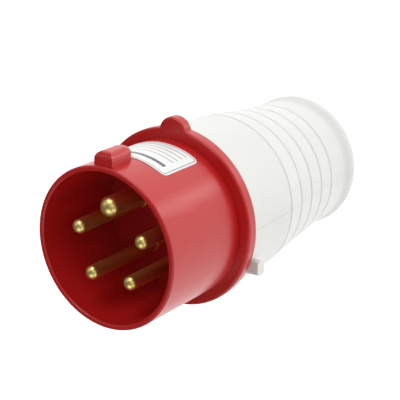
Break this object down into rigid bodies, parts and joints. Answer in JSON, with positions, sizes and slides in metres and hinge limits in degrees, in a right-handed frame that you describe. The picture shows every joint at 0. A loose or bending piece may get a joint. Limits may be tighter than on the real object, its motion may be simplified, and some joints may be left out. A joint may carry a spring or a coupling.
{
  "type": "industrial pin and sleeve plug",
  "caption": "Round industrial plug: red shroud with a key rib round brass pins, a flange with a cover lug, and a tapered white housing with a ringed grip and a gland nut in its flared tail.",
  "frame": {"origin": "centre of the cable entry, at the outer face of the gland nut", "axes": "+Z along the plug's axis, from the cable entry to the rim of the shroud; the key, the cover lug and the earth pin are on the -Y side"},
  "size_m": [0.0652, 0.0691, 0.1275],
  "materials": {
    "red_moulding": "glossy moulded polyamide, signal red",
    "turned_brass": "turned and polished",
    "plated_steel": "zinc plated",
    "grey_nylon": "moulded nylon",
    "black_rubber": "moulded rubber, matt",
    "white_moulding": "satin moulded polyamide, off-white",
    "label_film": "white film, blank",
    "washer_nylon": "moulded nylon",
    "nut_moulding": "satin moulded polyamide"
  },
  "bodies": {
    "plug": {"front_body": "red_moulding", "earth_pin": "turned_brass", "phase_pin_1": "turned_brass", "phase_pin_2": "turned_brass", "phase_pin_3": "turned_brass", "neutral_pin": "turned_brass", "earth_terminal_screw": "plated_steel", "phase_terminal_screw_1": "plated_steel", "phase_terminal_screw_2": "plated_steel", "phase_terminal_screw_3": "plated_steel", "neutral_terminal_screw": "plated_steel", "pin_retainer": "grey_nylon", "retainer_screw": "plated_steel", "flange_gasket": "black_rubber", "rear_housing": "white_moulding", "locking_screw": "plated_steel", "blank_label": "label_film", "cable_seal": "black_rubber"},
    "thrust_ring": {"thrust_ring": "washer_nylon"},
    "gland_nut": {"gland_nut": "nut_moulding"}
  },
  "joints": [
    {"name": "gland_press", "type": "slide", "parent": "plug", "child": "thrust_ring", "axis": [0, 0, 1], "range_m": [0, 0.003], "deforming": ["cable_seal"]},
    {"name": "gland_turn", "type": "hinge", "parent": "thrust_ring", "child": "gland_nut", "pos_m": [0, 0, 0], "axis": [0, 0, 1], "range_deg": [0, 270]}
  ],
  "couplings": [
    {"joint": "gland_turn", "follows": "gland_press", "rad_per_m": 1570.7}
  ]
}
